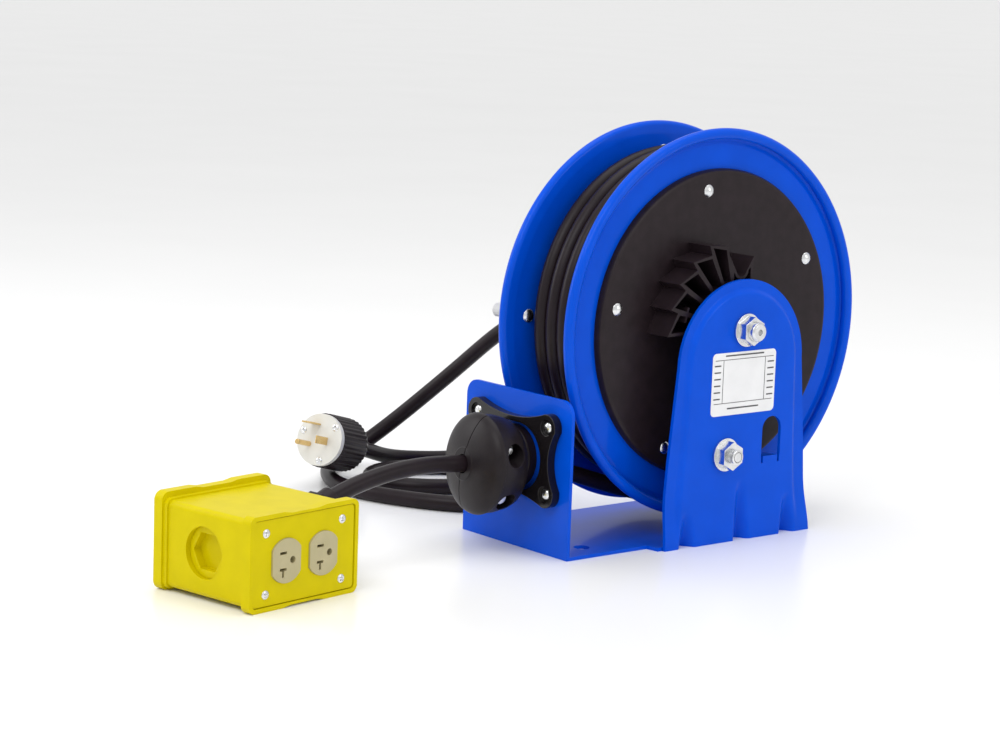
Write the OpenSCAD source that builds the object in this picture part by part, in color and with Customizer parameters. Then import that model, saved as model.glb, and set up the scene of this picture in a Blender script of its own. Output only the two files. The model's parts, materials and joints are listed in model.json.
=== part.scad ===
// Spring-driven extension cord reel on a pressed steel stand, with a portable outlet box
// on its cord and a supply lead with a plug. Millimetres, +Z up.
// The axle runs along X. The origin is on the stand's underside, straight below the middle of the drum.

/* [Stand] */
// Height of the axle above the floor
axle_z = 179; // [178:0.5:181]
// Thickness of the pressed steel sheet
sheet_t = 3; // [2.5:0.1:3]
// Half the width of the base plate
base_half_w = 68; // [66:1:70]
// How far the base plate reaches in front of the axle
base_front = 176.4; // [175:0.1:178]
// How far the base plate reaches behind the axle
base_back = 84; // [82:1:86]
// Height of the upturned guide plate
guide_h = 130; // [126:1:134]
// Radius of a floor mounting hole
mount_hole_r = 6.75; // [5:0.25:7]

/* [Drum] */
// Outer radius of the side discs
disc_r = 165; // [163:0.5:166]
// Half the inside width between the discs
drum_half_w = 36; // [36:0.5:37]
// Radius of the rolled bead on a disc's rim
bead_r = 4.7; // [4:0.1:5]
// Radius of the drum core
core_r = 62; // [60:1:64]
// Radius of the moulded cover
cover_r = 131; // [128:1:132]
// Outer radius of the wound cord
wound_r = 146; // [140:1:146]

/* [Cord] */
// Diameter of every cord
cord_d = 14; // [13:0.5:14]

/* [Outlet box] */
// Length of the box along its outlet face
box_w = 112; // [110:1:114]
// Depth of the box between its two outlet faces
box_depth = 106; // [104:1:108]
// Height of the box
box_h = 73; // [72:1:75]

/* [Hidden] */

$fn = 96;
cord_r = cord_d / 2;
gap = 0.05;

// Axle and what is on it
axle_r = 8;
axle_tip_r = 6;
axle_near = 97.7;
axle_step = -69;
axle_far = -84;
boss_r = 12;
arbor_r = 14;

// Pedestal, a tray pressed from one sheet, with a flared foot
border_x = 77.5;
panel_x = border_x + sheet_t;
arch_z = 150.5;
arch_r = 70.5;
panel_inset = 9.5;
foot_top = 50;
foot_x = 83.5;
foot_half_w = 84;
pivot_y = -18;
pivot_z = 75;
slot_y = 36;
slot_half_w = 11;

// Guide frame, bushing and ball stop
guide_z = 79;
lobe_x = 45;
lobe_z = 27.5;
lobe_r = 11;
// How deep the guide frame's sides curve in between its lobes, and the radii of those curves
waist = 7.5;
waist_side_r = 43.2;
waist_end_r = 127.8;
// The guide frame's oval opening is two circles, each opening_apart from the middle
opening_apart = 11;
opening_r = 28;
opening_drop = 1.5;
guide_rivet_r = 2.4;
guide_t = 8;
guide_y = -base_front - guide_t;
bushing_z = 76;
bushing_neck_r = 22;
bushing_bore = 12.5;
ball_y = -203;
ball_z = 71.5;
ball_r = 41.8;
// How far the ball reaches in front of its middle and behind it
ball_front = 28.5;
ball_back = 11.8;
// The ball's widest ring is this far in front of its middle
ball_crease = 13.5;
// The ball hangs a little crooked on the cord
ball_yaw = 5;
ball_tilt = 4;
ball_roll = 12;
ball_bolt_z = 20;
ball_bolt_y = -2;
ball_bolt_r = 3;
ball_bolt_head = 16;
ball_pocket_r = 8.5;
ball_seam = 0.3;
ball_bore = cord_r + 0.8;

// Cover, ratchet and far side
cover_x = 45.3;
ratchet_x = 71.4;
tooth_r = 80;
root_r = 71.5;
tooth_step = 16;
first_tip = 117.5;
rivet_ring_r = 114.4;
rivet_start = 98.25;
rivet_count = 5;
bolt_ring_r = 139;
bolt_start = 88;
bolt_count = 4;
housing_r = 45;
housing_x0 = -72;
housing_x1 = -39.5;
gland_y = -24;
gland_z = 170;
gland_hex = 7;
gland_len = 36;

// Outlet box frame: its front face looks along local +X and it stands on the floor
box_pos = [68.3, -433.8, 0];
box_yaw = 9.4;
grip_tilt = 20;
grip_z = 52;
grip_len = 24;
box_wall = 10;
// How much higher the rear flange stands than the front one
rear_rise = 3;
flange_t = 9;
cover_recess = 3.5;
screw_y = 39.2;
screw_z = [12.8, 59];
outlet_y = 19.05;
outlet_z = 35.9;
side_hole_r = 20;
side_hole_z = 37;

// Plug frame: its face looks along local +X
plug_pos = [-248, -199, 48];
plug_yaw = -68.4;
plug_pitch = 15;
plug_len = 60;
plug_r = 24.5;

// Where the supply lead runs: it falls from the hub, lies in two loose turns and ends in the plug
supply_route = [
    [-108, -24, 170], [-124, -24, 169.4], [-146, -24, 166.2], [-174, -25, 158], [-209, -28, 140],
    [-249, -37, 105],
    [-286, -54, 69], [-314, -78, 36], [-327, -106, 14], [-319, -133, 7.5], [-301, -151, 7], [-280, -166, 7],
    [-256, -178, 7], [-228, -184, 7], [-198, -180, 7], [-167, -168, 7], [-135, -151, 7], [-111, -129, 7],
    [-100, -98, 7], [-106, -62, 7], [-130, -27, 7], [-168, -7, 7], [-208, -9, 7], [-240, -30, 7],
    [-261, -58, 7], [-273, -85, 7], [-275, -110, 7], [-263, -134, 7], [-239, -146, 7], [-212, -139, 7],
    [-190, -115, 7], [-175, -84, 7], [-170, -50, 10], [-182, -20, 19], [-211, -3, 23.5], [-246, -6, 17],
    [-275, -26, 9], [-291, -53, 9], [-294, -80, 12], [-289, -102, 18],
    [-279.5, -123, 26], [-269.4, -145.1, 32.5]
];
// Where the reel's cord runs from the wound coil through the guide to the front of the ball stop
reel_route = [
    [0, 4, 24.6], [0, -20, 25.8], [0, -46, 31.6], [0, -80, 42.3], [0, -118, 55], [0, -150, 66],
    [0, -172, 71.3], [0.5, -187, 71.2], [0, -203, 71.5], [-1.3, -218, 72.6], [-2.5, -231.2, 73.5]
];
// Where the cord runs from the ball stop to the outlet box
outlet_route = [
    [-2.5, -231.4, 73.5], [-4.1, -249, 74.7], [-2.6, -272, 76], [-1.8, -297, 74.8], [-0.6, -321, 71.5],
    [0.8, -344, 66.8], [3.2, -364.9, 60.2]
];

// Helpers
module xcyl(r, x0, x1, y = 0, z = axle_z) {
    translate([x0, y, z]) rotate([0, 90, 0]) cylinder(r = r, h = x1 - x0);
}

module ycyl(r, y0, y1, x, z) {
    translate([x, y0, z]) rotate([-90, 0, 0]) cylinder(r = r, h = y1 - y0);
}

module xhex(across, x0, x1, y = 0, z = axle_z) {
    translate([x0, y, z]) rotate([0, 90, 0]) cylinder(r = across / sqrt(3), h = x1 - x0, $fn = 6);
}

module xring(r_out, r_in, x0, x1, y = 0, z = axle_z) {
    difference() {
        xcyl(r_out, x0, x1, y, z);
        xcyl(r_in, x0 - 1, x1 + 1, y, z);
    }
}

// A profile of [radius, x] points turned about the axle
module turned(points) {
    translate([0, 0, axle_z]) rotate([0, 90, 0]) rotate_extrude() polygon(points);
}

// A flat shape drawn in Y and Z, given a thickness from x0 to x1
module plate_x(x0, x1) {
    translate([x0, 0, 0]) rotate([90, 0, 90]) linear_extrude(x1 - x0) children();
}

// A flat shape drawn in X and Z, given a thickness from y0 to y1
module plate_y(y0, y1) {
    translate([0, y1, 0]) rotate([90, 0, 0]) linear_extrude(y1 - y0) children();
}

module round_rect(w, h, r) {
    square([w - 2 * r, h], center = true);
    square([w, h - 2 * r], center = true);
    for (x = [-1, 1], y = [-1, 1]) translate([x * (w / 2 - r), y * (h / 2 - r)]) circle(r);
}

// A shallow dome, base_r wide and high mm tall, standing on its flat side and pointing along +Z
module dome(base_r, high) {
    ball = (base_r * base_r + high * high) / (2 * high);
    translate([0, 0, high - ball]) intersection() {
        sphere(ball);
        translate([0, 0, ball - high]) cylinder(r = base_r + 1, h = high + 1);
    }
}

function polar(r, a) = [r * cos(a), r * sin(a)];

// A smooth curve through a list of route points, steps pieces to a span
function spline_at(a, b, c, d, t) =
    (pow(1 - t, 3) * a + (3 * pow(t, 3) - 6 * t * t + 4) * b + (1 + 3 * t + 3 * t * t - 3 * pow(t, 3)) * c
    + pow(t, 3) * d) / 6;
function padded(p) = concat([2 * p[0] - p[1]], p, [2 * p[len(p) - 1] - p[len(p) - 2]]);
function smooth(p, steps) = let (q = padded(p)) concat(
    [for (i = [1 : len(p) - 1], k = [0 : steps - 1])
        spline_at(q[i - 1], q[i], q[i + 1], q[i + 2], k / steps)],
    [p[len(p) - 1]]);
function unit(v) = v / norm(v);
function heading(p, i) = unit(p[min(i + 1, len(p) - 1)] - p[max(i - 1, 0)]);

// A tube swept along a list of points; across is a direction that the route never runs along
module tube(points, r, across, sides = 10) {
    n = len(points);
    rings = [for (i = [0 : n - 1])
        let (t = heading(points, i), u = unit(cross(t, across)), v = cross(t, u))
        for (k = [0 : sides - 1]) points[i] + r * (cos(360 * k / sides) * u + sin(360 * k / sides) * v)];
    walls = [for (i = [0 : n - 2], k = [0 : sides - 1])
        let (m = (k + 1) % sides)
        [i * sides + k, (i + 1) * sides + k, (i + 1) * sides + m, i * sides + m]];
    start_cap = [for (k = [0 : sides - 1]) k];
    end_cap = [for (k = [sides - 1 : -1 : 0]) (n - 1) * sides + k];
    polyhedron(rings, concat([start_cap], walls, [end_cap]));
}

// Stand
module base_outline() {
    polygon([
        [-base_half_w, -base_front], [base_half_w, -base_front], [base_half_w, -90],
        [80, -88], [80, base_back], [-base_half_w, base_back]
    ]);
}

module base_frame() {
    color("#0a4fd6") difference() {
        union() {
            linear_extrude(sheet_t) base_outline();
            plate_y(-base_front, sheet_t - base_front) translate([0, guide_h / 2])
                round_rect(2 * base_half_w, guide_h, 13);
            plate_y(-base_front, sheet_t - base_front) translate([-base_half_w, 0])
                square([2 * base_half_w, 20]);
        }
        for (x = [-1, 1], y = [-141, 59]) translate([x * lobe_x, y, -1]) cylinder(r = mount_hole_r, h = 9);
        ycyl(bushing_neck_r, -base_front - 1, 4 - base_front, 0, bushing_z);
        for (x = [-1, 1], z = [-1, 1])
            ycyl(guide_rivet_r, -base_front - 1, 4 - base_front, x * lobe_x, guide_z + z * lobe_z);
        for (g = foot_grooves) groove(g, sheet_t + 0.6);
    }
}

module arch_outline(inset, foot) {
    translate([0, arch_z]) circle(arch_r - inset);
    half = arch_r - inset;
    side = inset > 0 ? 1.5 * inset : 0;
    polygon([
        [-78 + side, foot_top + 25], [-half, arch_z], [half, arch_z], [78 - side, foot_top + 25],
        [80 - side, foot], [side - 80, foot]
    ]);
}

// Pressed grooves in the foot: [middle y, top z]
foot_grooves = [[-59, 29], [3, 52], [57, 34]];
groove_depth = 11;
module groove(g, back) {
    lean = atan((groove_depth - 0.12 * g[1]) / g[1]);
    translate([foot_x - groove_depth - back, g[0], 0]) rotate([0, lean, 0]) translate([0, 0, -8])
        linear_extrude(g[1] + 12) polygon([[0, 0], [26, -22], [26, 22]]);
}

module foot_slab(x_top, half_w) {
    plate_y(-half_w, half_w) polygon([
        [x_top - sheet_t, foot_top], [x_top, foot_top], [foot_x, 0], [foot_x - sheet_t, 0]
    ]);
}

module side_pedestal() {
    color("#0a4fd6") difference() {
        union() {
            difference() {
                plate_x(border_x - sheet_t, border_x) arch_outline(0, foot_top);
                plate_x(border_x - sheet_t - 1, border_x + 1)
                    arch_outline(panel_inset + sheet_t, foot_top - 1);
            }
            plate_x(border_x, panel_x) arch_outline(panel_inset, foot_top);
            difference() {
                union() {
                    foot_slab(border_x, foot_half_w);
                    foot_slab(panel_x, 65);
                    translate([80, -foot_half_w, 0]) cube([1, 2 * foot_half_w, sheet_t]);
                    for (g = foot_grooves) intersection() {
                        groove(g, sheet_t);
                        translate([60, -foot_half_w, 0]) cube([19, 2 * foot_half_w, g[1] - 8]);
                    }
                }
                for (g = foot_grooves) groove(g, 0);
            }
            translate([69, slot_y - 8, 66]) cube([panel_x - 70, 16, sheet_t]);
        }
        xcyl(axle_r, 60, 90);
        xcyl(6, 60, 90, pivot_y, pivot_z);
        plate_x(72, 90) {
            translate([slot_y, 92]) circle(slot_half_w);
            translate([slot_y - slot_half_w, 69]) square([2 * slot_half_w, 23]);
            for (s = [-1, 1]) translate([slot_y + s * 9.6 - 1, 63]) square([2, 7]);
        }
    }
}

module spec_label() {
    color("white") plate_x(panel_x, panel_x + 0.3) translate([0, 134.5]) round_rect(73, 53, 4);
}

module guide_outline() {
    difference() {
        union() {
            square([2 * lobe_x, 2 * (lobe_z + lobe_r)], center = true);
            square([2 * (lobe_x + lobe_r), 2 * lobe_z], center = true);
            for (x = [-1, 1], z = [-1, 1]) translate([x * lobe_x, z * lobe_z]) circle(lobe_r);
        }
        for (s = [-1, 1]) {
            translate([0, s * (lobe_z + lobe_r + waist_end_r - waist)]) circle(waist_end_r);
            translate([s * (lobe_x + lobe_r + waist_side_r - waist), 0]) circle(waist_side_r);
            translate([s * opening_apart, -opening_drop]) circle(opening_r);
        }
        translate([0, -opening_drop]) square(2 * [opening_apart, opening_r], center = true);
    }
}

module guide_frame() {
    color("#17161a") difference() {
        plate_y(guide_y, guide_y + guide_t) translate([0, guide_z]) guide_outline();
        for (x = [-1, 1], z = [-1, 1]) {
            ycyl(guide_rivet_r, guide_y - 1, guide_y + guide_t + 1, x * lobe_x, guide_z + z * lobe_z);
            ycyl(6.5, guide_y - 1, guide_y + 2.5, x * lobe_x, guide_z + z * lobe_z);
        }
    }
}

module guide_rivets() {
    color("silver") for (x = [-1, 1], z = [-1, 1])
        translate([x * lobe_x, guide_y + 2.5, guide_z + z * lobe_z]) {
            rotate([-90, 0, 0]) cylinder(r = guide_rivet_r, h = guide_t + sheet_t - 2.5);
            rotate([90, 0, 0]) dome(4.8, 2.3);
            translate([0, guide_t + sheet_t - 2.5, 0]) rotate([-90, 0, 0]) cylinder(r = 4, h = 1.8);
        }
}

module guide_bushing() {
    front = -188;
    color("#17161a") translate([0, 0, bushing_z]) rotate([-90, 0, 0]) rotate_extrude() polygon([
        [bushing_bore, front + 5], [13.3, front + 2.4], [15.2, front + 0.7], [17.5, front], [21, front],
        [24, front + 1.3], [26, front + 4], [26, -base_front], [bushing_neck_r, -base_front],
        [bushing_neck_r, sheet_t - base_front], [25, sheet_t - base_front], [25, -171.5], [23, -170],
        [17, -170], [14, -171.5], [bushing_bore, -174]
    ]);
}

// Axle, nuts and spring arbor
module axle_shaft() {
    color("silver") difference() {
        union() {
            xcyl(axle_r, axle_step, axle_near - 1.5);
            turned([
                [0, axle_near - 1.5], [axle_r, axle_near - 1.5], [axle_r - 1.5, axle_near], [0, axle_near]
            ]);
            xcyl(axle_tip_r, axle_far, axle_step);
            xcyl(boss_r, 74, border_x);
        }
        xcyl(2.5, axle_near - 4, axle_near + 1);
    }
}

module flange_nut(y, z, bore) {
    difference() {
        union() {
            xcyl(14, panel_x, panel_x + 2.5, y, z);
            xhex(21, panel_x + 2.5, panel_x + 11, y, z);
        }
        xcyl(bore, panel_x - 1, panel_x + 12, y, z);
    }
}

module axle_flange_nut() {
    color("silver") flange_nut(0, axle_z, axle_r);
}

module axle_end_nut() {
    color("silver") difference() {
        xhex(19, housing_x0 - 8, housing_x0);
        xcyl(axle_tip_r, housing_x0 - 9, housing_x0 + 1);
    }
}

module spring_arbor() {
    color("dimgray") xring(arbor_r, axle_r, -32, 32);
}

// Pawl, its pivot bolt and its spring
module pawl_pivot_bolt() {
    color("silver") {
        xcyl(6, 56, 94, pivot_y, pivot_z);
        xcyl(4.8, 94, 97, pivot_y, pivot_z);
        xcyl(10, 72, border_x, pivot_y, pivot_z);
        xhex(17, 51, 56, pivot_y, pivot_z);
    }
}

module pawl_flange_nut() {
    color("silver") flange_nut(pivot_y, pivot_z, 6);
}

module pawl_spring() {
    color("gray") xring(8.4, 6.6, 70, 71.8, pivot_y, pivot_z);
}

pawl_len = 29.5;
pawl_rest = 26.2;
module pawl() {
    color("dimgray") difference() {
        translate([0, pivot_y, pivot_z]) rotate([pawl_rest, 0, 0]) plate_x(58, 69.7) {
            circle(10);
            polygon([[-7, 0], [7, 0], [2, pawl_len], [-2, pawl_len]]);
        }
        xcyl(6 + gap, 50, 80, pivot_y, pivot_z);
    }
}

// Slip-ring housing and supply lead
module slip_ring_housing() {
    color("#202024") difference() {
        xcyl(housing_r, housing_x0, housing_x1);
        xcyl(housing_r - 3, housing_x0 + 3, housing_x1 + 1);
        xcyl(axle_tip_r, housing_x0 - 1, housing_x0 + 4);
        xcyl(9, housing_x0 - 1, housing_x0 + 4, gland_y, gland_z);
    }
}

brush_x = [-53.5, -48.5, -43.5];
module brush_block() {
    color("#5a3a20") difference() {
        translate([housing_x0 + 3, -8, axle_z + 29]) cube([28, 16, 12]);
        for (x = brush_x) translate([x, 0, axle_z + 28]) cylinder(r = 2, h = 14);
    }
}

module brushes() {
    color("#303030") for (x = brush_x) translate([x, 0, axle_z + 25.3]) cylinder(r = 2, h = 14);
}

// The strain relief: a hexagon against the housing and a taper towards the lead
module lead_gland() {
    color("#202024") translate([housing_x0, gland_y, gland_z]) rotate([0, -90, 0]) difference() {
        union() {
            translate([0, 0, -6]) cylinder(r = 9, h = 6);
            cylinder(r = 24 / sqrt(3), h = gland_hex, $fn = 6);
            rotate_extrude() polygon([[0, gland_hex], [11.5, gland_hex], [8.6, gland_len], [0, gland_len]]);
        }
        translate([0, 0, -7]) cylinder(r = cord_r, h = gland_len + 8);
    }
}

module supply_cord() {
    color("#2b2427") tube(smooth(supply_route, 2), cord_r, [0, 0, 1], 8);
}

// Plug
module at_plug() {
    translate(plug_pos) rotate([0, -plug_pitch, plug_yaw]) children();
}

module blade_shapes() {
    translate([-12, -10, 12.6]) cube([30, 9, 1.6]);
    translate([-12, 7.2, -4.2]) cube([30, 1.6, 7]);
    translate([-12, -10, -5]) rotate([0, 90, 0]) cylinder(r = 2.4, h = 32);
}

module plug_shell() {
    color("#232024") at_plug() rotate([0, 90, 0]) rotate_extrude() polygon([
        [cord_r, -plug_len], [15, -plug_len], [17, -plug_len + 5], [plug_r, -44], [plug_r, -5],
        [21, -5], [21, -46], [cord_r, -52]
    ]);
}

module plug_face() {
    color("ivory") at_plug() difference() {
        union() {
            rotate([0, 90, 0]) translate([0, 0, -20]) cylinder(r = 21, h = 15);
            rotate([0, 90, 0]) translate([0, 0, -5]) cylinder(r = 23.3, h = 5);
        }
        blade_shapes();
    }
}

module plug_blades() {
    color("gold") at_plug() blade_shapes();
}

module plug_screws() {
    color("silver") at_plug() for (a = [40, 160, 280]) rotate([a, 0, 0]) translate([0, 19, 0])
        rotate([0, 90, 0]) cylinder(r = 3, h = 0.8);
}

// Ball stop on the reel's cord
module at_ball() {
    translate([0, ball_y, ball_z]) rotate([-ball_tilt, 0, -ball_yaw]) rotate([0, ball_roll, 0]) children();
}

// Profile of the ball: [radius, distance behind its middle]
ball_profile = concat(
    [[ball_bore, -ball_front], [13, -ball_front]],
    [for (a = [20 : 7 : 90]) [ball_r * sin(a), -ball_crease - (ball_front - ball_crease) * cos(a)]],
    [[ball_r - 0.9, 0.4 - ball_crease], [ball_r - 1.6, -3], [ball_r - 3.8, 7], [ball_r - 6.2, ball_back],
    [ball_bore, ball_back]]
);

module ball_solid() {
    difference() {
        rotate([-90, 0, 0]) rotate_extrude() polygon(ball_profile);
        for (z = [-ball_bolt_z, ball_bolt_z]) {
            translate([-ball_r, ball_bolt_y, z]) rotate([0, 90, 0])
                cylinder(r = ball_bolt_r, h = 2 * ball_r);
            for (s = [-1, 1]) translate([s * ball_bolt_head, ball_bolt_y, z]) rotate([0, s * 90, 0])
                cylinder(r = ball_pocket_r, h = ball_r);
        }
    }
}

module ball_half(side) {
    at_ball() intersection() {
        ball_solid();
        translate([side > 0 ? ball_seam : -60 - ball_seam, -60, -60]) cube([60, 120, 120]);
    }
}

module ball_stop_left() {
    color("#2a2628") ball_half(-1);
}

module ball_stop_right() {
    color("#2a2628") ball_half(1);
}

// The two bolts point opposite ways: the lower one's head is on the +X side
module ball_stop_bolts() {
    color("silver") at_ball() for (s = [-1, 1]) translate([0, ball_bolt_y, s * ball_bolt_z])
        rotate([0, -s * 90, 0]) {
            translate([0, 0, -24]) cylinder(r = ball_bolt_r, h = 24 + ball_bolt_head);
            translate([0, 0, ball_bolt_head]) cylinder(r = 5, h = 10);
        }
}

module ball_stop_nuts() {
    color("silver") at_ball() for (s = [-1, 1]) translate([0, ball_bolt_y, s * ball_bolt_z])
        rotate([0, -s * 90, 0]) translate([0, 0, -20]) difference() {
            cylinder(r = 5.8, h = 4, $fn = 6);
            translate([0, 0, -1]) cylinder(r = ball_bolt_r, h = 6);
        }
}

module reel_cord() {
    color("#2b2427") tube(smooth(reel_route, 2), cord_r, [1, 0, 0]);
}

module outlet_cord() {
    color("#2b2427") tube(smooth(outlet_route, 2), cord_r, [1, 0, 0]);
}

// Outlet box
module at_box() {
    translate(box_pos) rotate([0, 0, box_yaw]) children();
}

module box_block(x0, x1, inset, corner, rise = 0) {
    plate_x(x0, x1) translate([0, (box_h + rise) / 2])
        round_rect(box_w - 2 * inset, box_h + rise - 2 * inset, corner);
}

// A dip in the middle of a flange's edge
module flange_dip(x0, x1, z, up) {
    plate_x(x0, x1) translate([0, z]) polygon([[-22, 0], [-14, up], [14, up], [22, 0]]);
}

module box_body() {
    mid = -box_depth / 2;
    color("gold") at_box() difference() {
        union() {
            box_block(-flange_t, 0, 0, 6);
            box_block(-box_depth, flange_t - box_depth, 0, 7, rear_rise);
            box_block(flange_t - box_depth, flange_t + 4 - box_depth, 1.6, 6);
            box_block(flange_t + 4 - box_depth, -flange_t, 3, 5);
        }
        box_block(-4, 1, cover_recess, 3.5);
        box_block(-box_depth - 1, 4 - box_depth, cover_recess, 3.5);
        box_block(-box_depth + 3, -3, box_wall, 3);
        for (x = [-flange_t, -box_depth]) flange_dip(x - 1, x + flange_t + 1, -0.01, 1.4);
        flange_dip(-10, 1, box_h + 0.01, -1.4);
        flange_dip(-box_depth - 1, 10 - box_depth, box_h + rear_rise + 0.01, -1.4);
        translate([mid, -box_w / 2 - 1, side_hole_z]) rotate([-90, 0, 0])
            cylinder(r = side_hole_r, h = box_wall + 3);
        translate([mid, box_w / 2, grip_z]) rotate([grip_tilt + 90, 0, 0]) translate([0, 0, -20])
            cylinder(r = 10, h = 40);
    }
}

module face_outline() {
    intersection() {
        circle(17);
        square([28.6, 36], center = true);
    }
}

module box_cover() {
    difference() {
        box_block(-4, -1, cover_recess + 0.6, 3.2);
        for (y = [-outlet_y, outlet_y]) plate_x(-5, 1) translate([y, outlet_z]) face_outline();
        for (s = [-1, 1], z = screw_z) translate([-5, s * screw_y, z]) rotate([0, 90, 0])
            cylinder(r = 1.8, h = 6);
    }
}

module at_box_rear() {
    at_box() translate([-box_depth, 0, 0]) rotate([0, 0, 180]) children();
}

module box_front_cover() {
    color("gold") at_box() box_cover();
}

module box_rear_cover() {
    color("gold") at_box_rear() box_cover();
}

module box_screws() {
    for (s = [-1, 1], z = screw_z) translate([-4, s * screw_y, z]) rotate([0, 90, 0]) {
        cylinder(r = 1.8, h = 3);
        translate([0, 0, 3]) dome(3.6, 1.2);
    }
}

module box_front_screws() {
    color("silver") at_box() box_screws();
}

module box_rear_screws() {
    color("silver") at_box_rear() box_screws();
}

module receptacle() {
    difference() {
        union() {
            for (y = [-outlet_y, outlet_y]) plate_x(-6, 0.6) translate([y, outlet_z]) face_outline();
            translate([-30, -36, 21]) cube([24, 72, 30]);
            translate([-6, -45, 27.4]) cube([1.9, 90, 17]);
        }
        for (y = [-outlet_y, outlet_y]) {
            translate([-10, y - 7, 41]) cube([12, 6.8, 2]);
            translate([-10, y - 7, 28.5]) cube([12, 6.8, 2]);
            translate([-10, y - 4.6, 23.5]) cube([12, 2, 6]);
            translate([-10, y + 6, outlet_z]) rotate([0, 90, 0]) cylinder(r = 2.6, h = 12);
        }
    }
}

module receptacle_front() {
    color("ivory") at_box() receptacle();
}

module receptacle_rear() {
    color("ivory") at_box_rear() receptacle();
}

module box_cord_grip() {
    color("#202024") at_box() translate([-box_depth / 2, box_w / 2, grip_z]) rotate([grip_tilt, 0, 0])
        rotate([-90, 0, 0]) difference() {
            union() {
                translate([0, 0, -12]) cylinder(r = 10, h = 14);
                translate([0, 0, 4]) cylinder(r = 14, h = 8, $fn = 6);
                translate([0, 0, 1]) cylinder(r = 10, h = grip_len - 1);
            }
            translate([0, 0, -13]) cylinder(r = cord_r, h = grip_len + 20);
        }
}

module box_hole_plug() {
    color("gold") at_box() translate([-box_depth / 2, -box_w / 2, side_hole_z])
        rotate([-90, 0, 0]) difference() {
            union() {
                translate([0, 0, box_wall - 3]) cylinder(r = side_hole_r, h = 3);
                translate([0, 0, box_wall]) cylinder(r = 24, h = 8);
            }
            translate([0, 0, box_wall - 4]) cylinder(r = 16, h = 8, $fn = 6);
        }
}

// Drum
module disc(holes, ring_r, hole_r, start) {
    difference() {
        union() {
            xring(disc_r - bead_r, 20, drum_half_w, drum_half_w + 2);
            translate([0, 0, axle_z]) rotate([0, 90, 0]) rotate_extrude()
                translate([disc_r - bead_r, drum_half_w + 0.9 + bead_r]) circle(bead_r, $fn = 32);
        }
        for (i = [0 : holes - 1]) translate([0, 0, axle_z]) rotate([start + i * 360 / holes, 0, 0])
            translate([0, 0, -axle_z]) xcyl(hole_r, drum_half_w - 1, drum_half_w + 4, ring_r);
    }
}

module near_disc() {
    color("#0a4fd6") disc(rivet_count, rivet_ring_r, 2.8, rivet_start);
}

module far_disc() {
    color("#0a4fd6") mirror([1, 0, 0]) disc(bolt_count, bolt_ring_r, 3, bolt_start);
}

module drum_core() {
    color("#0a4fd6") xring(core_r, core_r - 2.5, -drum_half_w, drum_half_w);
}

function tip_angle(i) = first_tip + i * tooth_step;
ratchet_start = 103.5;
ratchet_inner_r = 34;
// The saw-tooth outline of the ratchet sector, going round from its blunt end
tooth_count = 5;
function after_tip(i) = polar(i < tooth_count - 1 ? root_r : ratchet_inner_r, tip_angle(i) + 0.8);
ratchet_outline = concat(
    [polar(ratchet_inner_r, ratchet_start - 0.5), polar(root_r, ratchet_start)],
    [for (i = [0 : tooth_count - 1]) each [polar(tooth_r, tip_angle(i)), after_tip(i)]]
);

// The scoop beside it is a V with a round bottom, and its far side is one pointed tooth
scoop_bottom = [0.5, 49];
scoop_bottom_r = 5.5;
scoop_wall = 2.5;
module scoop() {
    difference() {
        polygon([
            polar(32, 104), polar(root_r, ratchet_start), [-14, 62], [-4, 46], [5, 46], [14, 60],
            [12.5, 40], polar(32, 68)
        ]);
        translate(scoop_bottom) circle(scoop_bottom_r);
    }
}

module scoop_pocket() {
    difference() {
        polygon([[-8, 35], [-8, 47], [0, 42], [11, 51], [11, 40], [9, 35]]);
        translate(scoop_bottom) circle(scoop_bottom_r + scoop_wall);
    }
}

module ratchet_cell(i) {
    a0 = i == 0 ? ratchet_start + 0.6 : tip_angle(i - 1) + 0.8;
    a1 = tip_angle(i);
    polygon([
        polar(41, a0 + 1.6), polar(root_r - 2.6, a0 + 1), polar(tooth_r - 3.6, a1 - 2), polar(41, a1 - 1.8)
    ]);
}

module ratchet() {
    difference() {
        union() {
            polygon(ratchet_outline);
            scoop();
        }
        difference() {
            for (i = [0 : tooth_count - 1]) ratchet_cell(i);
            polygon([polar(60.5, 160), polar(62.5, 160), polar(62.5, 172), polar(60.5, 172)]);
        }
        scoop_pocket();
        circle(33);
    }
}

module near_cover() {
    color("#2c282b") difference() {
        union() {
            difference() {
                turned([[boss_r, drum_half_w + 2], [cover_r, drum_half_w + 2], [cover_r, cover_x - 3.8],
                    [cover_r - 1.5, cover_x - 1.2], [cover_r - 5, cover_x], [boss_r, cover_x]]);
                xring(cover_r - 9, 24, drum_half_w + 1, cover_x - 3);
            }
            at_rivets() xcyl(6, drum_half_w + 2, cover_x - 1, rivet_ring_r);
            xring(16, boss_r, cover_x - 1, 62);
            translate([0, 0, axle_z]) plate_x(cover_x - 1, ratchet_x) ratchet();
        }
        at_rivets() xcyl(2.8, drum_half_w, cover_x + 1, rivet_ring_r);
    }
}

module at_ring(angle) {
    translate([0, 0, axle_z]) rotate([angle, 0, 0]) translate([0, 0, -axle_z]) children();
}

module at_rivets() {
    for (i = [0 : rivet_count - 1]) at_ring(rivet_start + i * 360 / rivet_count) children();
}

module at_bolts() {
    for (i = [0 : bolt_count - 1]) at_ring(bolt_start + i * 360 / bolt_count) children();
}

module cover_rivets() {
    color("silver") at_rivets() {
        xcyl(2.8, drum_half_w, cover_x, rivet_ring_r);
        translate([cover_x, rivet_ring_r, axle_z]) rotate([0, 90, 0]) dome(5.4, 2.6);
    }
}

module disc_bolts() {
    color("silver") at_bolts() {
        xcyl(3, -70, -drum_half_w, bolt_ring_r);
        translate([-drum_half_w, bolt_ring_r, axle_z]) rotate([0, 90, 0]) dome(6, 2.7);
    }
}

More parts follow.
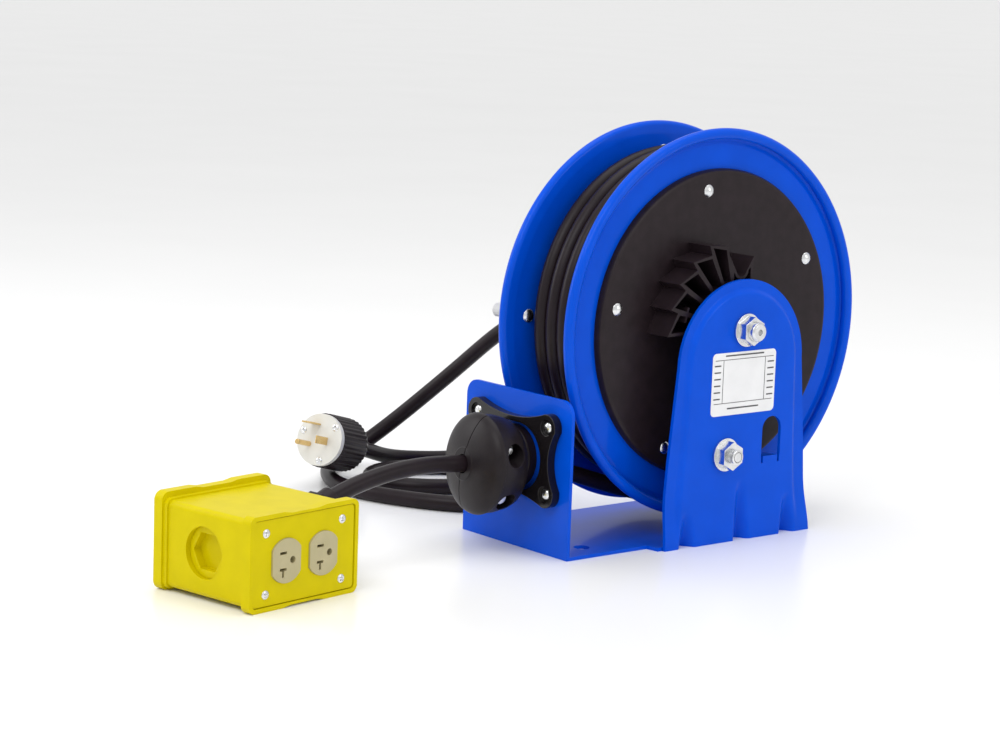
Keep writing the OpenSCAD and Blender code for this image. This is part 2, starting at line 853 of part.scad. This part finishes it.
module bumper_posts() {
    color("lightgray") at_bolts() difference() {
        union() {
            xcyl(6, -77, -drum_half_w - 2, bolt_ring_r);
            translate([-77, bolt_ring_r, axle_z]) rotate([0, -90, 0]) dome(6, 3.5);
        }
        xcyl(3, -70, -drum_half_w, bolt_ring_r);
    }
}

module hub_bushing_near() {
    color("#b08040") xring(boss_r, axle_r + gap, drum_half_w + 2, 62);
}

module hub_bushing_far() {
    color("#b08040") xring(boss_r, axle_r + gap, -58, -34);
}

module slip_ring_carrier() {
    color("#5a3a20") {
        xring(22, boss_r, -58, -drum_half_w - 2);
        xring(30, 21, -drum_half_w - 4.5, -drum_half_w - 2);
    }
}

module slip_rings() {
    color("#c8963c") for (x = brush_x) xring(25, 22, x - 1.5, x + 1.5);
}

spring_turns = 7;
spring_t = 1;
function spiral(k, r) = polar(r + (core_r - 4 - arbor_r - 3) * k / (18 * spring_turns), 20 * k);
module mainspring() {
    last = 18 * spring_turns;
    color("slategray") translate([0, 0, axle_z]) plate_x(-28, 28) polygon(concat(
        [for (k = [0 : last]) spiral(k, arbor_r + 2)],
        [for (k = [last : -1 : 0]) spiral(k, arbor_r + 2 + spring_t)]));
}

module wound_cord() {
    color("#2b2427") xring(wound_r, core_r, -drum_half_w + 3, drum_half_w);
}

base_frame();
side_pedestal();
spec_label();
guide_frame();
guide_rivets();
guide_bushing();
axle_shaft();
axle_flange_nut();
axle_end_nut();
spring_arbor();
pawl_pivot_bolt();
pawl_flange_nut();
pawl_spring();
slip_ring_housing();
brush_block();
brushes();
lead_gland();
supply_cord();
plug_shell();
plug_face();
plug_blades();
plug_screws();
ball_stop_left();
ball_stop_right();
ball_stop_bolts();
ball_stop_nuts();
reel_cord();
outlet_cord();
box_body();
box_front_cover();
box_rear_cover();
box_front_screws();
box_rear_screws();
receptacle_front();
receptacle_rear();
box_cord_grip();
box_hole_plug();
near_disc();
far_disc();
drum_core();
near_cover();
cover_rivets();
disc_bolts();
bumper_posts();
hub_bushing_near();
hub_bushing_far();
slip_ring_carrier();
slip_rings();
mainspring();
wound_cord();
pawl();
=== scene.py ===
# The looks of a spring-driven extension cord reel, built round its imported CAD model.
# Lengths in the tables are millimetres; meshes are made in metres.
import json
import math
import bmesh
import bpy
from mathutils import Matrix, Vector


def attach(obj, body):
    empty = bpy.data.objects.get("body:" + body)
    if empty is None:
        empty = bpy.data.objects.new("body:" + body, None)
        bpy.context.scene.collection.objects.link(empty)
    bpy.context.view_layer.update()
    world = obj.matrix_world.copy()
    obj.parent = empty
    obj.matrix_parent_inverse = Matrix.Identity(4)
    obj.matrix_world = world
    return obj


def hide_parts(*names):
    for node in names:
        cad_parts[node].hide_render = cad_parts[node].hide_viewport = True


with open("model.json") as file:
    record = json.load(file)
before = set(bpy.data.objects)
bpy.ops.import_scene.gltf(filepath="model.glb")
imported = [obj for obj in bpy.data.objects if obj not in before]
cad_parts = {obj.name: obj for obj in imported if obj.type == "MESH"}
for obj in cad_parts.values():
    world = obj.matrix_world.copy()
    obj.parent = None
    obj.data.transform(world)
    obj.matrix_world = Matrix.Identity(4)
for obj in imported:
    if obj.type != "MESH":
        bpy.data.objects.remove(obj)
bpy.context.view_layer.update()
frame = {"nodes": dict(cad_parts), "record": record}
MM = 0.001
BODY = {n: b for b, ns in frame["record"]["behaviour"]["bodies"].items() for n in ns}
AXLE_Z = 179
PIVOT_Y = -18
PIVOT_Z = 75
CORD_D = 14


def turn(degrees, axis):
    return Matrix.Rotation(math.radians(degrees), 4, axis)


AXLE = Matrix.Translation((0, 0, AXLE_Z))
PLUG = Matrix.Translation((-248, -199, 48)) @ turn(-68.4, "Z") @ turn(-15, "Y")
BOX = Matrix.Translation((68.3, -433.8, 0)) @ turn(9.4, "Z")
BOX_REAR = BOX @ Matrix.Translation((-106, 0, 0)) @ turn(180, "Z")


# ---- Materials ----
MATS = {}


def material(name, low, high, rough, scale, bump, metallic=0.0, coat=0.0, specular=0.5, depth=0.0002):
    """Two close colours mottled by noise, with a fine grain pressed into the surface."""
    m = bpy.data.materials.new(name)
    m.use_nodes = True
    nodes = m.node_tree.nodes
    links = m.node_tree.links
    shader = nodes["Principled BSDF"]
    where = nodes.new("ShaderNodeTexCoord")
    noise = nodes.new("ShaderNodeTexNoise")
    noise.inputs["Scale"].default_value = scale
    noise.inputs["Detail"].default_value = 6
    ramp = nodes.new("ShaderNodeValToRGB")
    ramp.color_ramp.elements[0].position = 0.3
    ramp.color_ramp.elements[1].position = 0.7
    ramp.color_ramp.elements[0].color = (*low, 1)
    ramp.color_ramp.elements[1].color = (*high, 1)
    grain = nodes.new("ShaderNodeTexNoise")
    grain.inputs["Scale"].default_value = scale * 6
    grain.inputs["Detail"].default_value = 3
    press = nodes.new("ShaderNodeBump")
    press.inputs["Strength"].default_value = bump
    press.inputs["Distance"].default_value = depth
    links.new(where.outputs["Object"], noise.inputs["Vector"])
    links.new(where.outputs["Object"], grain.inputs["Vector"])
    links.new(noise.outputs["Fac"], ramp.inputs["Fac"])
    links.new(ramp.outputs["Color"], shader.inputs["Base Color"])
    links.new(grain.outputs["Fac"], press.inputs["Height"])
    links.new(press.outputs["Normal"], shader.inputs["Normal"])
    shader.inputs["Roughness"].default_value = rough
    shader.inputs["Metallic"].default_value = metallic
    shader.inputs["Coat Weight"].default_value = coat
    shader.inputs["Coat Roughness"].default_value = 0.06
    shader.inputs["Specular IOR Level"].default_value = specular
    MATS[name] = m


material("blue_paint", (0, 0.072, 0.60), (0, 0.080, 0.66), 0.3, 40, 0.02, coat=0.12, specular=0.06)
material("gloss_black", (0.006, 0.005, 0.006), (0.010, 0.008, 0.009), 0.22, 60, 0.05, coat=0.3, specular=0.2)
material("zinc", (0.66, 0.67, 0.68), (0.78, 0.78, 0.78), 0.24, 220, 0.06, metallic=1.0)
material("spring_steel", (0.2, 0.21, 0.23), (0.3, 0.31, 0.33), 0.35, 120, 0.1, metallic=1.0)
material("dark_steel", (0.05, 0.05, 0.055), (0.08, 0.08, 0.085), 0.4, 120, 0.15, metallic=0.6)
material("black_plastic", (0.014, 0.009, 0.011), (0.020, 0.013, 0.016), 0.36, 90, 0.2, specular=0.18)
material("matt_black", (0.010, 0.007, 0.009), (0.015, 0.011, 0.013), 0.4, 90, 0.25, specular=0.2)
material("cord_rubber", (0.009, 0.005, 0.007), (0.014, 0.008, 0.011), 0.36, 70, 0.12, specular=0.2)
material("yellow_plastic", (0.60, 0.50, 0.0), (0.65, 0.54, 0.0), 0.4, 60, 0.06, coat=0.04, specular=0.06)
material("ivory_plastic", (0.42, 0.37, 0.20), (0.47, 0.41, 0.23), 0.36, 60, 0.05, coat=0.08)
material("white_plastic", (0.66, 0.65, 0.60), (0.74, 0.73, 0.68), 0.4, 60, 0.05)
material("label_white", (0.80, 0.80, 0.80), (0.86, 0.86, 0.86), 0.4, 60, 0.02)
material("print_grey", (0.06, 0.06, 0.06), (0.09, 0.09, 0.09), 0.5, 90, 0.02)
# slot_dark: near-black painted shade standing in for the shade deep inside slots
material("slot_dark", (0.01, 0.01, 0.01), (0.02, 0.02, 0.018), 0.7, 90, 0.05)
material("grey_plastic", (0.52, 0.52, 0.52), (0.6, 0.6, 0.6), 0.45, 80, 0.15)
material("phenolic", (0.12, 0.06, 0.03), (0.2, 0.1, 0.05), 0.5, 80, 0.2)
material("carbon", (0.03, 0.03, 0.03), (0.06, 0.06, 0.06), 0.6, 200, 0.3)
material("brass", (0.72, 0.5, 0.2), (0.82, 0.6, 0.28), 0.25, 160, 0.08, metallic=1.0)
material("bronze", (0.45, 0.26, 0.1), (0.55, 0.33, 0.14), 0.4, 300, 0.3, metallic=1.0)
material("floor", (0.93, 0.93, 0.93), (0.95, 0.95, 0.95), 0.25, 3, 0.0, specular=0.35)


# ---- Mesh helpers ----
def piece(name, verts, faces, mat, node=None, body=None, at=None, sharp=38, bevel=0.0, segments=2):
    """A mesh piece from points in millimetres; it may stand for a CAD node, and rides on that node's body."""
    mesh = bpy.data.meshes.new(name)
    at = at or Matrix.Identity(4)
    mesh.from_pydata([(at @ Vector(v)) * MM for v in verts], [], faces)
    return finish_piece(name, mesh, mat, node, body, sharp, bevel, segments)


def finish_piece(name, mesh, mat, node, body, sharp, bevel, segments):
    bm = bmesh.new()
    bm.from_mesh(mesh)
    bmesh.ops.remove_doubles(bm, verts=bm.verts, dist=2e-6)
    bmesh.ops.recalc_face_normals(bm, faces=bm.faces)
    bm.to_mesh(mesh)
    bm.free()
    obj = bpy.data.objects.new(name, mesh)
    bpy.context.scene.collection.objects.link(obj)
    mesh.materials.clear()
    mesh.materials.append(MATS[mat])
    if bevel:
        soften = obj.modifiers.new("edges", "BEVEL")
        soften.width = bevel * MM
        soften.segments = segments
        soften.limit_method = "ANGLE"
        soften.angle_limit = math.radians(32)
        apply_modifiers(obj)
    smooth(obj, sharp)
    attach(obj, body or BODY[node])
    if node:
        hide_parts(node)
    return obj


def apply_modifiers(obj):
    bpy.context.view_layer.update()
    made = bpy.data.meshes.new_from_object(obj.evaluated_get(bpy.context.evaluated_depsgraph_get()))
    obj.modifiers.clear()
    obj.data = made


def smooth(obj, sharp):
    mesh = obj.data
    for p in mesh.polygons:
        p.use_smooth = True
    mesh.set_sharp_from_angle(angle=math.radians(sharp))
    if "normals" not in obj.modifiers:
        weighted = obj.modifiers.new("normals", "WEIGHTED_NORMAL")
        weighted.keep_sharp = True
        weighted.weight = 100


def refine(node, mat, bevel, segments=2, sharp=38):
    """The CAD node's own shape with its triangles merged and its edges rounded."""
    mesh = frame["nodes"][node].data.copy()
    bm = bmesh.new()
    bm.from_mesh(mesh)
    bmesh.ops.remove_doubles(bm, verts=bm.verts, dist=2e-6)
    bmesh.ops.dissolve_limit(bm, angle_limit=math.radians(0.5), verts=bm.verts, edges=bm.edges)
    bm.to_mesh(mesh)
    bm.free()
    if mesh.has_custom_normals:
        mesh.attributes.remove(mesh.attributes["custom_normal"])
    return finish_piece(node + "_look", mesh, mat, node, None, sharp, bevel, segments)


def lathe(profile, n=160, ribs=0, rib_depth=0.0, ribbed=()):
    """Points (x, r) of a closed outline turned about local X; the ribs cut into the points in ribbed."""
    verts = []
    for i in range(n):
        a = 2 * math.pi * i / n
        for k, (x, r) in enumerate(profile):
            cut = rib_depth * (0.5 + 0.5 * math.cos(ribs * a)) if k in ribbed else 0
            verts.append((x, (r - cut) * math.cos(a), (r - cut) * math.sin(a)))
    m = len(profile)
    faces = [
        (i * m + k, i * m + (k + 1) % m, ((i + 1) % n) * m + (k + 1) % m, ((i + 1) % n) * m + k)
        for i in range(n) for k in range(m)
    ]
    return verts, faces


def sweep(points, radius, sides=20):
    """A closed tube round a line of points, with its rings carried along without twisting."""
    pts = [Vector(p) for p in points]
    across = None
    verts = []
    for i, p in enumerate(pts):
        t = (pts[min(i + 1, len(pts) - 1)] - pts[max(i - 1, 0)]).normalized()
        if across is None:
            across = t.orthogonal().normalized()
        across = (across - across.dot(t) * t).normalized()
        other = t.cross(across)
        for k in range(sides):
            a = 2 * math.pi * k / sides
            verts.append(p + radius * (math.cos(a) * across + math.sin(a) * other))
    faces = [
        (i * sides + k, i * sides + (k + 1) % sides, (i + 1) * sides + (k + 1) % sides, (i + 1) * sides + k)
        for i in range(len(pts) - 1) for k in range(sides)
    ]
    faces.append(tuple(range(sides)))
    faces.append(tuple((len(pts) - 1) * sides + k for k in reversed(range(sides))))
    return verts, faces


def block(x0, x1, y0, y1, z0, z1):
    verts = [(x, y, z) for x in (x0, x1) for y in (y0, y1) for z in (z0, z1)]
    faces = [(0, 1, 3, 2), (4, 6, 7, 5), (0, 4, 5, 1), (2, 3, 7, 6), (0, 2, 6, 4), (1, 5, 7, 3)]
    return verts, faces


def together(*shapes):
    verts, faces = [], []
    for v, f in shapes:
        base = len(verts)
        verts += list(v)
        faces += [tuple(i + base for i in face) for face in f]
    return verts, faces


def moved(shape, at):
    return [at @ Vector(v) for v in shape[0]], shape[1]


def spline(points, steps=6):
    """The same B-spline that the CAD tubes follow."""
    p = [Vector(q) for q in points]
    q = [2 * p[0] - p[1]] + p + [2 * p[-1] - p[-2]]
    out = []
    for i in range(1, len(p)):
        for k in range(steps):
            t = k / steps
            w = ((1 - t) ** 3, 3 * t ** 3 - 6 * t * t + 4, 1 + 3 * t + 3 * t * t - 3 * t ** 3, t ** 3)
            out.append(sum((q[i - 1 + j] * w[j] for j in range(4)), Vector((0, 0, 0))) / 6)
    return out + [p[-1]]


def length_of(points):
    return sum((b - a).length for a, b in zip(points, points[1:]))


def ease(t):
    t = min(1, max(0, t))
    return t * t * (3 - 2 * t)


# ---- Cords ----
SUPPLY_ROUTE = [
    (-108, -24, 170), (-124, -24, 169.4), (-146, -24, 166.2), (-174, -25, 158), (-209, -28, 140),
    (-249, -37, 105), (-286, -54, 69), (-314, -78, 36), (-327, -106, 14), (-319, -133, 7.5),
    (-301, -151, 7), (-280, -166, 7), (-256, -178, 7), (-228, -184, 7), (-198, -180, 7), (-167, -168, 7),
    (-135, -151, 7), (-111, -129, 7), (-100, -98, 7), (-106, -62, 7), (-130, -27, 7), (-168, -7, 7),
    (-208, -9, 7), (-240, -30, 7), (-261, -58, 7), (-273, -85, 7), (-275, -110, 7), (-263, -134, 7),
    (-239, -146, 7), (-212, -139, 7), (-190, -115, 7), (-175, -84, 7), (-170, -50, 10), (-182, -20, 19),
    (-211, -3, 23.5), (-246, -6, 17), (-275, -26, 9), (-291, -53, 9), (-294, -80, 12), (-289, -102, 18),
    (-279.5, -123, 26), (-269.4, -145.1, 32.5),
]
REEL_ROUTE = [
    (0, 4, 24.6), (0, -20, 25.8), (0, -46, 31.6), (0, -80, 42.3), (0, -118, 55), (0, -150, 66),
    (0, -172, 71.3), (0.5, -187, 71.2), (0, -203, 71.5), (-1.3, -218, 72.6), (-2.5, -231.2, 73.5),
]
OUTLET_ROUTE = [
    (-2.5, -231.2, 73.5), (-4.1, -249, 74.7), (-2.6, -272, 76), (-1.8, -297, 74.8), (-0.6, -321, 71.5),
    (0.8, -344, 66.8), (3.2, -364.9, 60.2),
]


def cord_curve(name, route, node):
    line = spline(route)
    curve = bpy.data.curves.new(name, "CURVE")
    curve.dimensions = "3D"
    curve.bevel_depth = CORD_D / 2 * MM
    curve.bevel_resolution = 6
    curve.use_fill_caps = True
    s = curve.splines.new("POLY")
    s.points.add(len(line) - 1)
    for point, p in zip(s.points, line):
        point.co = (*(p * MM), 1)
    s.use_smooth = True
    obj = bpy.data.objects.new(name, curve)
    bpy.context.scene.collection.objects.link(obj)
    curve.materials.append(MATS["cord_rubber"])
    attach(obj, "frame")
    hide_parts(node)
    return obj, length_of(line) * MM


supply, supply_length = cord_curve("supply_lead", SUPPLY_ROUTE, "supply_cord")
outlet, outlet_length = cord_curve("outlet_lead", OUTLET_ROUTE, "outlet_cord")
piece("reel_strand", *sweep(spline(REEL_ROUTE), CORD_D / 2), "cord_rubber", node="reel_cord")


def helix(radius, turns, x0, x1, start, hand=1, per_turn=72):
    """Turns of wound cord whose last third of a turn dives under the layer."""
    n = int(turns * per_turn)
    out = []
    for i in range(n + 1):
        a = math.radians(start) + hand * 2 * math.pi * turns * i / n
        r = radius - 15 * ease(1 - (n - i) / (per_turn * 0.3))
        out.append((x0 + (x1 - x0) * i / n, r * math.cos(a), r * math.sin(a)))
    return out


layers = [
    sweep(helix(139, 3.8, 29, -25.5, -90, -1), CORD_D / 2, 18),
    sweep(helix(126.5, 3.6, -25.5, 29, 40), CORD_D / 2, 16),
    sweep(helix(114, 4.4, 29, -26, 0), CORD_D / 2, 14),
]
inner = lathe([(-32, 63), (-32, 112), (35, 112), (35, 63)], 96)
piece("wound_turns", *together(*layers, inner), "cord_rubber", node="wound_cord", at=AXLE, sharp=60)


# ---- Drum ----
BEAD_X = 41.6
BEAD_AT_R = 160.3
BEAD_R = 4.7


def disc_profile(side):
    """The disc and its rolled rim, as points (x, r)."""
    bead = [(BEAD_X + BEAD_R * math.cos(math.radians(a)), BEAD_AT_R + BEAD_R * math.sin(math.radians(a)))
            for a in range(190, -131, -20)]
    outline = [(36, 20), (36, 151), (36.3, 153), (36, 155.5)] + bead
    outline += [(38, 156.4), (37.4, 154.8), (37.3, 153.4), (37.9, 151.6), (38.2, 150.4), (38.2, 133), (38, 20)]
    return [(side * x, r) for x, r in outline]


piece("near_disc_rolled", *lathe(disc_profile(1), 220), "blue_paint", node="near_disc", at=AXLE, sharp=50)
piece("far_disc_rolled", *lathe(disc_profile(-1), 220), "blue_paint", node="far_disc", at=AXLE, sharp=50)
refine("near_cover", "black_plastic", 0.5, 2)


# ---- Pedestal: one pressed sheet with a raised panel, a flared foot and three pressed grooves ----
# Each groove: its middle (y) and its top (z)
GROOVES = ((-59, 29), (3, 52), (57, 34))
GROOVE_DEPTH = 11
ARCH_Z = 150.5
ARCH_R = 70.5
KNEE_Z = 75
KNEE_HALF_W = 78
FOOT_HALF_W = 83.5
FOOT_X = 83.5
FOOT_TOP = 50
BORDER_X = 77.5
PANEL_INSET = 9.5
SHEET = 3


def half_width(z):
    if z > ARCH_Z:
        return math.sqrt(max(0, ARCH_R ** 2 - (z - ARCH_Z) ** 2))
    if z > KNEE_Z:
        return ARCH_R + (KNEE_HALF_W - ARCH_R) * (ARCH_Z - z) / (ARCH_Z - KNEE_Z)
    return FOOT_HALF_W - (FOOT_HALF_W - KNEE_HALF_W) * z / KNEE_Z


def sheet_x(y, z):
    """Where the sheet's outer face lies at a height and a place across it."""
    if z > ARCH_Z:
        inside = ARCH_R - math.hypot(y, z - ARCH_Z)
        inset = PANEL_INSET
    else:
        inside = half_width(z) - abs(y)
        inset = PANEL_INSET + 4.5 * min(1, (ARCH_Z - z) / KNEE_Z)
    x = BORDER_X + SHEET * ease((inside - inset + 2.5) / 5)
    x += (FOOT_X - x) * ease((FOOT_TOP - z) / FOOT_TOP) ** 1.3
    for middle, top in GROOVES:
        if z < top:
            t = abs(y - middle) / (10 - 4 * z / top)
            if t < 1:
                x -= GROOVE_DEPTH * (1 - z / top) * (1 - ease(t))
    return x


def pedestal_shape():
    rows = [i * 2 for i in range(0, 38)] + [75.5 + i * 3.75 for i in range(20)]
    rows += [ARCH_Z + ARCH_R * math.sin(math.radians(a)) for a in range(0, 89, 2)] + [220.9]
    n = 112
    front, back = [], []
    for z in rows:
        for k in range(n + 1):
            s = -1 + 2 * k / n
            y = half_width(z) * s
            x = sheet_x(y, z)
            front.append((x, y, z))
            back.append((x - SHEET, y, z))
    verts = front + back
    m = len(front)
    faces = []
    for i in range(len(rows) - 1):
        for k in range(n):
            a = i * (n + 1) + k
            b = a + n + 1
            faces.append((a, a + 1, b + 1, b))
            faces.append((m + a, m + b, m + b + 1, m + a + 1))
        for k in (0, n):
            a = i * (n + 1) + k
            b = a + n + 1
            faces.append((a, b, m + b, m + a))
    for i in (0, len(rows) - 1):
        for k in range(n):
            a = i * (n + 1) + k
            faces.append((a, a + 1, m + a + 1, m + a))
    return verts, faces


pedestal = piece("pedestal_sheet", *pedestal_shape(), "blue_paint", node="side_pedestal", sharp=50)
arch = [(36 + 11 * math.cos(math.radians(a)), 92 + 11 * math.sin(math.radians(a))) for a in range(0, 181, 12)]
arch = [(47, 69)] + arch + [(25, 69)]
m = len(arch)
window = ([(60, y, z) for y, z in arch] + [(95, y, z) for y, z in arch],
          [tuple(range(m)), tuple(reversed(range(m, 2 * m)))]
          + [(k, (k + 1) % m, m + (k + 1) % m, m + k) for k in range(m)])


def cut_from(obj, shape):
    mesh = bpy.data.meshes.new("cutter")
    mesh.from_pydata([Vector(v) * MM for v in shape[0]], [], shape[1])
    bm = bmesh.new()
    bm.from_mesh(mesh)
    bmesh.ops.recalc_face_normals(bm, faces=bm.faces)
    bm.to_mesh(mesh)
    bm.free()
    cutter = bpy.data.objects.new("cutter", mesh)
    bpy.context.scene.collection.objects.link(cutter)
    boolean = obj.modifiers.new("cut", "BOOLEAN")
    boolean.object = cutter
    boolean.operation = "DIFFERENCE"
    boolean.solver = "EXACT"
    apply_modifiers(obj)
    bpy.data.objects.remove(cutter, do_unlink=True)


cut_from(pedestal, window)
cut_from(pedestal, block(60, 95, 25.4, 27.6, 63, 70))
cut_from(pedestal, block(60, 95, 44.4, 46.6, 63, 70))
smooth(pedestal, 50)
piece("slot_tab", *block(69, 80, 28, 44, 66, 69), "blue_paint", body="frame", bevel=1.2, segments=3)
refine("base_frame", "blue_paint", 1.3, 3)
refine("guide_frame", "gloss_black", 1.2, 3)

# ---- Label: a plain white plate with blank ruled boxes ----
refine("spec_label", "label_white", 0.1, 1)
LABEL_Z = 134.5
rules = []
for y, z, w, h in ((0, LABEL_Z + 20.5, 67, 0.5), (0, LABEL_Z - 16, 67, 0.5), (-24, LABEL_Z + 2, 0.5, 36),
                   (24, LABEL_Z + 2, 0.5, 36)):
    rules.append(block(80.7, 80.95, y - w / 2, y + w / 2, z - h / 2, z + h / 2))
for side in (-30.5, 30.5):
    for row in range(6):
        z = LABEL_Z + 16 - row * 5.6
        rules.append(block(80.7, 80.95, side - 3.6, side + 3.6, z - 0.55, z + 0.55))
rules.append(block(80.7, 80.95, -22, 22, 157.8, 159.0))
rules.append(block(80.7, 80.95, -18, 18, 113.2, 114.4))
piece("label_rules", *together(*rules), "print_grey", body="frame")


# ---- Fasteners ----
def cross_head(r, high, cross):
    """A domed screw head with a cross recess, its axis along local X."""
    steps = [(high * math.sin(math.radians(a)), r * math.cos(math.radians(a))) for a in range(0, 85, 12)]
    head = lathe([(-0.6, r)] + steps + [(high, 0.01), (-0.6, 0.01)], 40)
    bars = [block(high * 0.35, high + 1, -cross, cross, -cross * 0.26, cross * 0.26),
            block(high * 0.35, high + 1, -cross * 0.26, cross * 0.26, -cross, cross)]
    return head, bars


def cross_heads(name, node, r, high, cross, places):
    """All the screws of one node, each with its recess cut."""
    head, bars = cross_head(r, high, cross)
    obj = piece(name, *together(*[moved(head, p) for p in places]), "zinc", node=node, sharp=45)
    for bar in bars:
        cut_from(obj, together(*[moved(bar, p) for p in places]))
    smooth(obj, 45)


cross_heads(
    "plug_screw_heads", "plug_screws", 3.3, 1.1, 1.9,
    [PLUG @ turn(a, "X") @ Matrix.Translation((0, 19, 0)) @ turn(30, "X") for a in (40, 160, 280)])
cover_spots = [(-39.2, 12.8), (-39.2, 59), (39.2, 12.8), (39.2, 59)]
cross_heads("front_screw_heads", "box_front_screws", 3.6, 1.3, 2.1,
            [BOX @ Matrix.Translation((-1, y, z)) @ turn(40 * y, "X") for y, z in cover_spots])
cross_heads("rear_screw_heads", "box_rear_screws", 3.6, 1.3, 2.1,
            [BOX_REAR @ Matrix.Translation((-1, y, z)) @ turn(33 * y, "X") for y, z in cover_spots])

thread = [(91.6, 4)]
for i in range(9):
    thread += [(91.8 + i * 0.56, 5.3), (92.1 + i * 0.56, 6.15)]
thread += [(97.0, 5.0), (97.0, 4)]
thread_verts, thread_faces = lathe(thread, 64)
stud = [(x, y + PIVOT_Y, z + PIVOT_Z - AXLE_Z) for x, y, z in thread_verts]
piece("pivot_thread", stud, thread_faces, "zinc", body="frame", at=AXLE, sharp=30)

for node, mat, bevel in (
    ("axle_flange_nut", "zinc", 0.7), ("pawl_flange_nut", "zinc", 0.7), ("axle_end_nut", "zinc", 0.7),
    ("pawl_pivot_bolt", "zinc", 0.3), ("axle_shaft", "zinc", 0.3), ("guide_rivets", "zinc", 0.2),
    ("guide_bushing", "black_plastic", 0.4), ("cover_rivets", "zinc", 0.2), ("disc_bolts", "zinc", 0.2),
    ("bumper_posts", "grey_plastic", 0.4), ("ball_stop_left", "matt_black", 0.7),
    ("ball_stop_right", "matt_black", 0.7), ("ball_stop_bolts", "zinc", 0.4),
    ("ball_stop_nuts", "zinc", 0.4), ("slip_ring_housing", "black_plastic", 1.5),
    ("lead_gland", "black_plastic", 0.5), ("box_cord_grip", "black_plastic", 0.5),
    ("box_hole_plug", "yellow_plastic", 0.6), ("pawl", "dark_steel", 0.8), ("plug_blades", "brass", 0.4),
    ("plug_face", "white_plastic", 0.6), ("receptacle_front", "ivory_plastic", 0.4),
    ("receptacle_rear", "ivory_plastic", 0.4), ("box_front_cover", "yellow_plastic", 0.6),
    ("box_rear_cover", "yellow_plastic", 0.6), ("box_body", "yellow_plastic", 1.2),
):
    refine(node, mat, bevel, 2)

# ---- Plug body with finger ribs ----
shell = [(-60, 7.05), (-60, 14.4), (-59, 15.6), (-55, 17.2), (-50, 20.4), (-46, 23.2), (-44, 24.2), (-42, 24.5),
         (-7, 24.5), (-5.4, 24.1), (-5, 23.4), (-5, 21.1), (-46, 21.1), (-52, 7.05)]
ribbed_shell = lathe(shell, 216, 36, 1.1, (5, 6, 7, 8))
piece("plug_body_ribbed", *ribbed_shell, "black_plastic", node="plug_shell", at=PLUG)

# ---- Everything else keeps its CAD shape and gets its material ----
slots = {s["node"]: s["material_slot"] for s in frame["record"]["subparts"]}
for name, obj in frame["nodes"].items():
    obj.data.materials.clear()
    obj.data.materials.append(MATS[slots[name]])

# ---- Stage, lights and camera ----
# The plain view transform keeps the paint and plastic as saturated as they are set
bpy.context.scene.view_settings.view_transform = "Standard"
bpy.ops.mesh.primitive_plane_add(size=80, location=(0, 0, 0))
floor = bpy.context.object
floor.name = "floor"
floor.data.materials.append(MATS["floor"])

world = bpy.data.worlds.new("studio")
bpy.context.scene.world = world
world.use_nodes = True
world.node_tree.nodes["Background"].inputs["Color"].default_value = (1, 1, 1, 1)
world.node_tree.nodes["Background"].inputs["Strength"].default_value = 0.85


def softbox(name, spot, target, power, wide, high):
    light = bpy.data.lights.new(name, "AREA")
    light.shape = "RECTANGLE"
    light.size = wide
    light.size_y = high
    light.energy = power
    obj = bpy.data.objects.new(name, light)
    obj.location = spot
    obj.rotation_euler = (Vector(target) - Vector(spot)).to_track_quat("-Z", "Y").to_euler()
    bpy.context.scene.collection.objects.link(obj)


softbox("key", (0.4, -1.5, 1.7), (0, -0.1, 0.1), 12, 1.2, 1.0)
softbox("side", (1.9, 0.6, 1.0), (0, 0, 0.15), 6, 0.9, 1.1)
softbox("left", (-1.4, -1.2, 0.9), (-0.1, -0.1, 0.15), 7, 0.8, 1.0)
softbox("top", (-0.1, 0.1, 1.9), (0, 0, 0.1), 9, 1.4, 1.4)

view = bpy.data.cameras.new("camera")
view.sensor_width = 36
view.lens = 96.19
view.clip_end = 50
eye = bpy.data.objects.new("camera", view)
right = Vector((0.62795, 0.77746, 0.03508))
up = Vector((-0.14817, 0.07518, 0.98610))
back = Vector((0.76402, -0.62442, 0.16240))
turned = Matrix((right, up, back)).transposed().to_4x4()
eye.matrix_world = Matrix.Translation((1.65649, -1.55125, 0.50395)) @ turned
bpy.context.scene.collection.objects.link(eye)
bpy.context.scene.camera = eye
